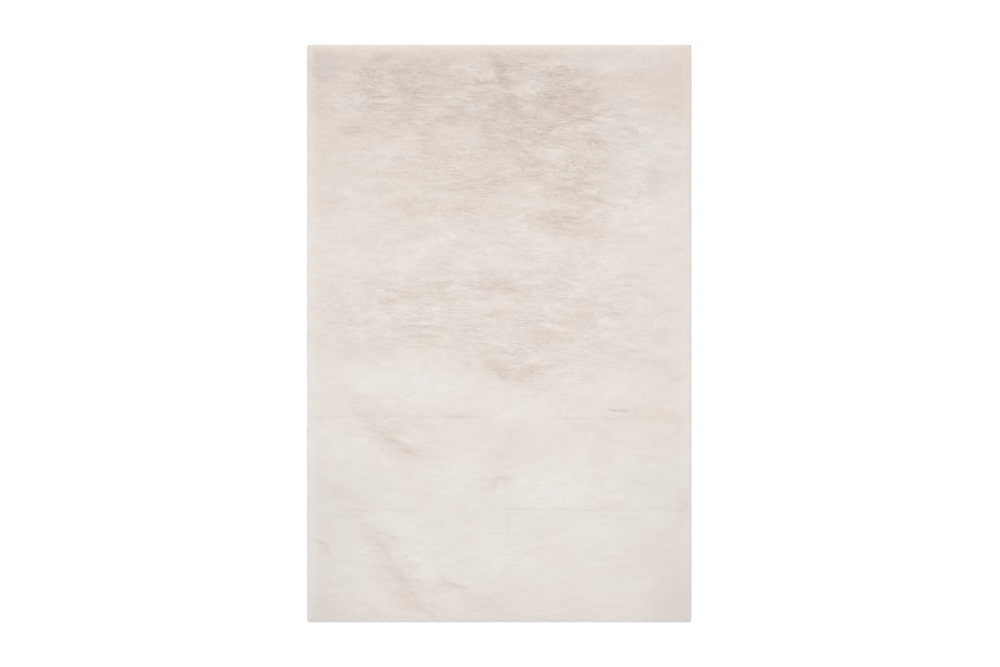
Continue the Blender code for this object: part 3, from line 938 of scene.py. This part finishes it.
class Fibres:
    """Every bundle of fibres in the pile: its root on the coat, the lock that it gathers into, and its tip.

    root and tip are (n, 3) points, root_up and tip_up the coat's normals there, and root_over and tip_over how far
    round the roll they lie. spread holds five random numbers of each bundle, from -2 to 2, and own three of its
    lock, from 0 to 1. ruffled says how ruffled the pile is at the root, and lively how much its locks stand out.
    """

    def __init__(self, settings):
        self.coat, self.pile, self.sizes = Coat(settings), settings.pile, settings.sizes
        random = np.random.default_rng(self.pile.seed)
        self.u, self.v, self.across_share = root_places(self.coat, self.pile.spacing, random)
        self.root, self.root_over = self.coat.at(self.u, self.v)
        self.root_up = self.coat.normals(self.u, self.v)
        self.spread = random.normal(0.0, 1.0, (5, len(self.u))).clip(-2, 2)
        self.gather(random)
        self.lean()
        self.lift()

    def gather(self, random):
        """Gives each bundle its place in a lock. By the rug's two ends the locks lie along the rug."""
        to_end, to_side = self.coat.reach_v - np.abs(self.v), self.coat.reach_u - np.abs(self.u)
        self.ends = (to_end < END_BAND) & (to_end < to_side)
        places = np.where(self.ends, self.v, self.u), np.where(self.ends, self.u, self.v)
        self.along, self.beside, self.own = lock_cells(*places, self.pile.lock_length, self.pile.lock_width, random)
        strength = ruffle_strength(self.root[:, 0], self.root[:, 1])
        self.ruffled = strength * (1.0 - 0.8 * ramp(self.root_over, 0.0, 0.95))
        self.lively = 0.15 + 0.85 * np.maximum(self.ruffled, 0.5 * self.root_over**2)

    def lean(self):
        """Finds the tips' places on the coat: a fibre's length from the root along its lie, drawn to its lock."""
        pile, over, own = self.pile, self.root_over, self.own
        lie = lie_of_pile(self.u, self.v, over, self.coat, pile)
        turn = BUNDLE_TURN * self.spread[0] + LOCK_TURN * (own[:, 0] - 0.5) * self.lively
        lie = turned(lie, np.radians(turn))
        length = pile.fibre_length * (1.0 + pile.unevenness * self.spread[1]) * (1.0 - RIM_SHORTER * over**2)
        drawn = pile.gather * (0.4 + 0.6 * np.maximum(self.lively, over))
        to_middle, to_centre = drawn * self.beside * pile.lock_width, 0.5 * drawn * self.along * pile.lock_length
        self.tip_u = self.u + lie[:, 0] * length - np.where(self.ends, to_middle, to_centre)
        self.tip_v = self.v + lie[:, 1] * length - np.where(self.ends, to_centre, to_middle)

    def lift(self):
        """Stands the tips over the coat: by the pile's ruffles, locks and creases, and inside the rug's outline."""
        pile, sizes, spread, ruffled, over = self.pile, self.sizes, self.spread, self.ruffled, self.root_over
        self.sunk = ruffled * self.own[:, 1] ** 5
        most = np.maximum(self.lively, over)
        uneven = (0.04 + 0.05 * ruffled) * spread[2]
        rise = sizes.coat_depth * (SLEEK_RISE + RUFFLED_RISE * ruffled + ROLLED_RISE * over**2 + uneven)
        rise = rise * (1.0 - LOCK_ROUND * self.beside**2 * most)
        rise = rise + LOCK_RISE * (self.own[:, 2] - 0.5) * most - LOCK_SINK * self.sunk
        tip, self.tip_over = self.coat.at(self.tip_u, self.tip_v)
        self.tip_up = self.coat.normals(self.tip_u, self.tip_v)
        tip = tip + self.tip_up * rise[:, None]
        height, slope = relief(tip[:, 0], tip[:, 1])
        self.height, self.slope = height * (1.0 - 0.7 * self.tip_over), slope * (1.0 - 0.9 * self.tip_over)
        self.crease_shading = crease_shade(tip[:, 0], tip[:, 1])
        past_u, past_v = np.abs(self.tip_u) - self.coat.reach_u, np.abs(self.tip_v) - self.coat.reach_v
        hang = np.clip(past_u, 0.0, None) + np.clip(past_v, 0.0, None)
        tip[:, 2] += pile.ruffle_rise * self.height + CREASE_RISE * np.abs(self.crease_shading) - hang
        tip[:, 2] = np.maximum(tip[:, 2], LOWEST_TIP)
        ragged = RAGGED * np.abs(spread[3])
        for axis, side in ((0, sizes.width), (1, sizes.length)):
            tip[:, axis] = tip[:, axis].clip(ragged - side / 2, side / 2 - ragged)
        self.tip = tip

    def corners(self):
        """(n, 4, 3) points of the bundles."""
        width = self.pile.fibre_width * (1.0 + self.pile.unevenness * self.spread[4])
        return blades(self.root - self.root_up * ROOT_DEPTH, self.root_up, self.tip, width, self.pile.fibre_thickness)

    def facing(self):
        """(n, 2, 3) ways that the pile faces at root and tip: the coat's normal, rounded over a lock and a ruffle."""
        to_side = np.where(self.ends[:, None], [1.0, 0.0, 0.0], [0.0, 1.0, 0.0])
        crown = to_side * (2.0 * self.beside * (0.02 + 0.22 * self.ruffled))[:, None]
        crown = crown - np.array([0.0, 1.0, 0.0]) * (self.pile.ruffle_rise / SLOPE_SPAN * self.slope)[:, None]
        return np.stack([unit(self.root_up + crown), unit(self.tip_up + crown)], 1)

    def shared_tone_and_shade(self):
        """How much darker each bundle is all along: at random, by chance and by its lock, then by painted shade where
        it is sunk and at a lock's sides, and paler by painted light where the ruffles lift it.
        """
        fleck = np.clip(self.spread[3] - FLECK_FROM, 0.0, FLECK_SPAN) / FLECK_SPAN
        shared = LOCK_DEPTH * (self.own[:, 0] - 0.5) * self.lively + SUNK_SHADE * self.sunk - RISEN_LIGHT * self.height
        shared = shared + FLECK_DEPTH * fleck
        # Painted shade in the partings between locks, strongest at a lock's very side.
        side = 64.0 * self.beside**6 - 0.14  # 0.86 at a lock's very side, and below 0 in its middle
        return shared + SIDE_SHADE * np.maximum(self.ruffled, 0.4 * self.root_over) * side

    def fields(self):
        """The stored fields, {name: (n, 4)}: tone and grey at the root's three points and at the tip, and along.

        Both ends of a bundle take the rug's tones, painted shade and sheen among them, and the creases' painted shade
        where they lie, and the rim's painted cool shade over the roll. along sets the root's painted shade: full at
        the root inside, less over the roll, and none at the tip.
        """
        shared = self.shared_tone_and_shade()
        both = {"tone": [], "grey": []}
        for point, over in ((self.root, self.root_over), (self.tip, self.tip_over)):
            depth, grey = tone_and_shade_fields(point[:, 0], point[:, 1])
            crease = self.crease_shading if point is self.tip else crease_shade(point[:, 0], point[:, 1])
            rim = RIM_SHARE * ramp(over, *RIM_RAMP)
            both["tone"].append((depth + crease) * (1.0 - rim) + RIM_SHADE * rim + shared)
            both["grey"].append((grey + 0.5 * crease.clip(0.0, 1.0)) * (1.0 - rim) + RIM_SHADE_GREY * rim)
        both["along"] = RIM_SHARE * ramp(self.root_over, *RIM_RAMP), np.ones(len(self.u))
        return {name: np.stack([root, root, root, tip], 1) for name, (root, tip) in both.items()}


def add_pile(settings, material):
    """The fibres all over the coat, gathered into locks, in lengthways strips that are one object each."""
    fibres, strips = Fibres(settings), settings.pile.strips
    shape = fibres.corners(), fibres.facing(), 0.02 + 0.08 * fibres.ruffled
    fields = fibres.fields()
    pieces = []
    for number in range(strips):
        first, last = number / strips, (number + 1) / strips
        chosen = np.flatnonzero((fibres.across_share >= first) & (fibres.across_share < last))
        piece = strip_piece(f"pile_strip_{number + 1}", *(part[chosen] for part in shape), material)
        add_values(piece, **{name: values[chosen].ravel() for name, values in fields.items()})
        pieces.append(finish_piece(piece))
    return pieces


def strip_piece(name, corners, facing, fullness, material):
    """One strip of pile as an object. Its upper faces are shaded softly, as fur is, and the others by their own shape.

    facing is (n, 2, 3): the way the pile faces at the root and at the tip. The normals lean from it to a bundle's
    sides by its fullness.
    """
    count, strand_shift = len(corners), 7.3  # the shift gives every bundle other strands
    faces = (np.arange(count)[:, None, None] * 4 + BLADE_FACES).reshape(-1, 3)
    piece = mesh_piece(name, corners.reshape(-1, 3), [faces], material)
    strands = BLADE_STRAND + [0.0, 0.0, 1.0] * (strand_shift * np.arange(count))[:, None, None]
    add_vectors(piece, "strand", strands.reshape(-1, 3))
    piece.data.shade_smooth()
    aside = unit(corners[:, 1] - corners[:, 0]) * fullness[:, None]
    soft = unit(np.stack([facing[:, 0] - aside, facing[:, 0] + aside, facing[:, 0], facing[:, 1]], 1))
    corner_normals = np.zeros((count, *BLADE_FACES.shape, 3))  # zero leaves a corner its own shape's normal
    corner_normals[:, UPPER_FACES] = soft[:, BLADE_FACES[UPPER_FACES]]
    piece.data.normals_split_custom_set(corner_normals.reshape(-1, 3).tolist())
    add_map(piece, "OFBake", cell_map(count)[faces.reshape(-1)])
    return piece


def cell_map(count):
    """Where each bundle's four points lie on a map that gives every bundle a small square cell of its own."""
    side = math.ceil(math.sqrt(count))
    cell = np.arange(count)
    low = np.stack([cell % side, cell // side], -1)[:, None, :]
    return ((low + BLADE_CELL) / side).reshape(-1, 2)


# ---- The other pieces ----


def add_ground(settings, material):
    """The ground cloth: a thin flat slab whose cut edge wanders a little, under the undercoat.

    Its grid is (s, t) from -1 to 1 each way, times half its width and length. Noise moves the outermost points,
    fading inwards by the eighth power of s or t.
    """
    sizes, columns, rows, fade = settings.sizes, 41, 61, 8
    width = sizes.width - 2 * sizes.rim_reach - 2 * GROUND_INSET
    length = sizes.length - 2 * sizes.rim_reach - 2 * GROUND_INSET
    s, t = np.meshgrid(np.linspace(-1.0, 1.0, columns), np.linspace(-1.0, 1.0, rows))
    x = s * width / 2 * (1.0 + noise("cut_sides", np.sign(s), t * length / 2) * np.abs(s) ** fade)
    y = t * length / 2 * (1.0 + noise("cut_ends", s * width / 2, np.sign(t)) * np.abs(t) ** fade)
    top = np.stack([x, y, np.full(x.shape, sizes.ground_thickness)], -1)
    return finish_piece(slab("ground_cloth", top, 0.0, 0.0, material))


def add_undercoat(settings, material):
    """The undercoat: the coat's surface over a flat bottom that is set back a little under its outermost line."""
    coat, columns, rows = Coat(settings), 181, 271
    u = np.linspace(-coat.reach_u, coat.reach_u, columns)
    v = np.linspace(-coat.reach_v, coat.reach_v, rows)
    grid_u, grid_v = np.meshgrid(u, v)
    points, _ = coat.at(grid_u.ravel(), grid_v.ravel())
    bottom = settings.sizes.ground_thickness + COAT_GAP
    piece = slab("undercoat", points.reshape(rows, columns, 3), COAT_INSET, bottom, material)
    places = np.zeros(3 * len(piece.data.vertices))
    piece.data.vertices.foreach_get("co", places)
    places = places.reshape(-1, 3)
    add_vectors(piece, "strand", places * COAT_STRAND)
    x, y = places[:, 0], places[:, 1]
    depth, grey = tone_and_shade_fields(x, y)
    # Painted shade: darker where the pile is ruffled and along the creases, and along at 0.8 gives it part of the
    # root's painted shade.
    tone = depth + 0.1 * ruffle_strength(x, y) + 0.4 * crease_shade(x, y, wider=0.004)
    add_values(piece, tone=tone, grey=grey, along=0.8)
    piece.data.shade_smooth()
    return finish_piece(piece, replaces=True)


# ---- Studio ----


def add_camera(studio):
    """A camera straight above the rug. Its height gives the picture's scale, and the shift of its place the rug's."""
    data = bpy.data.cameras.new("camera")
    data.lens = studio.lens
    camera = bpy.data.objects.new("camera", data)
    bpy.context.scene.collection.objects.link(camera)
    height = studio.pixel * PICTURE_WIDTH * data.lens / data.sensor_width
    aside = (PICTURE_WIDTH / 2 - RUG_MIDDLE_PIXEL) * studio.pixel
    camera.location = (aside, 0.0, height)
    bpy.context.scene.camera = camera


def add_floor():
    """A plain white floor that glows faintly, so that it stays white beside the rug."""
    corners = np.array([(-1, -1, 0), (1, -1, 0), (1, 1, 0), (-1, 1, 0)], float) * FLOOR_REACH
    white, grey = (1.0, 1.0, 1.0, 1.0), (0.45, 0.45, 0.45, 1.0)
    finish = {"Base_Color": grey, "Roughness": 1.0, "Specular_IOR_Level": 0.0}
    material, _, _ = new_material("white_floor", Emission_Color=white, Emission_Strength=0.60, **finish)
    mesh_piece("floor", corners, [np.array([[0, 1, 2, 3]])], material)


def add_light(studio):
    """A white dome, and one large soft lamp above the rug's far left."""
    scene = bpy.context.scene
    world = bpy.data.worlds.new("white_dome")
    world.use_nodes = True
    tree, background = world.node_tree, world.node_tree.nodes["Background"]
    background.inputs["Color"].default_value = (1.0, 1.0, 1.0, 1.0)
    seen = add_node(tree, "ShaderNodeLightPath").outputs["Is Camera Ray"]
    full_where_seen = math_socket(tree, "MAXIMUM", seen, studio.dome)
    fill_socket(tree, background.inputs["Strength"], full_where_seen)
    scene.world = world
    data = bpy.data.lights.new("soft_lamp", "SUN")
    data.angle = math.radians(LAMP_SPREAD)
    tilt = math.radians(LAMP_TILT)
    data.energy = studio.key * math.pi / math.cos(tilt)
    lamp = bpy.data.objects.new("soft_lamp", data)
    lamp.rotation_euler = (-tilt, 0.0, math.radians(LAMP_TURN))
    scene.collection.objects.link(lamp)
    scene.view_settings.view_transform = "Standard"


# ---- Operators and panel ----


class SHAGRUG_OT_ground(bpy.types.Operator):
    """Adds the woven ground cloth"""

    bl_idname = "shagrug.ground"
    bl_label = "Ground cloth"

    def execute(self, context):
        settings = context.scene.shag_rug
        add_ground(settings, ground_material(settings.colours))
        return {"FINISHED"}


class SHAGRUG_OT_undercoat(bpy.types.Operator):
    """Adds the dense undercoat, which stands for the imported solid"""

    bl_idname = "shagrug.undercoat"
    bl_label = "Undercoat"

    def execute(self, context):
        settings = context.scene.shag_rug
        add_undercoat(settings, pile_material("undercoat_fibre", settings, bump=0.4))
        return {"FINISHED"}


class SHAGRUG_OT_pile(bpy.types.Operator):
    bl_idname = "shagrug.pile"
    bl_label = "Pile"

    def execute(self, context):
        settings = context.scene.shag_rug
        pieces = add_pile(settings, pile_material("pile_fibre", settings, bump=0.25))
        return {"FINISHED"}


class SHAGRUG_OT_studio(bpy.types.Operator):
    """Adds the floor, the lights and the camera"""

    bl_idname = "shagrug.studio"
    bl_label = "Studio"

    def execute(self, context):
        studio = context.scene.shag_rug.studio
        add_floor()
        add_light(studio)
        add_camera(studio)
        return {"FINISHED"}


class SHAGRUG_PT_panel(bpy.types.Panel):
    """Lists the rug's sizes, colours and pieces"""

    bl_idname = "SHAGRUG_PT_panel"
    bl_label = "Plush shag rug"
    bl_space_type = "VIEW_3D"
    bl_region_type = "UI"
    bl_category = "Shag rug"

    def draw(self, context):
        """A box for each group of settings, then a button for each operator."""
        settings = context.scene.shag_rug
        for group in (settings.sizes, settings.pile, settings.colours, settings.studio):
            box = self.layout.box()
            for name in group.__annotations__:
                box.prop(group, name)
        for operator in OPERATORS:
            self.layout.operator(operator.bl_idname)


GROUPS = (RugSizes, PileSettings, PileColours, StudioSettings, RugSettings)
OPERATORS = (SHAGRUG_OT_ground, SHAGRUG_OT_undercoat, SHAGRUG_OT_pile, SHAGRUG_OT_studio)
CLASSES = (*GROUPS, *OPERATORS, SHAGRUG_PT_panel)


def register():
    """Registers the classes, and puts the settings on the scene."""
    for found in CLASSES:
        bpy.utils.register_class(found)
    bpy.types.Scene.shag_rug = bpy.props.PointerProperty(type=RugSettings)


def unregister():
    """Takes off what register put on."""
    del bpy.types.Scene.shag_rug
    for found in reversed(CLASSES):
        bpy.utils.unregister_class(found)


def main():
    """Adds every piece and the studio, in order."""
    register()
    bpy.ops.shagrug.ground()
    bpy.ops.shagrug.undercoat()
    bpy.ops.shagrug.pile()
    bpy.ops.shagrug.studio()


if __name__ == "__main__":
    main()
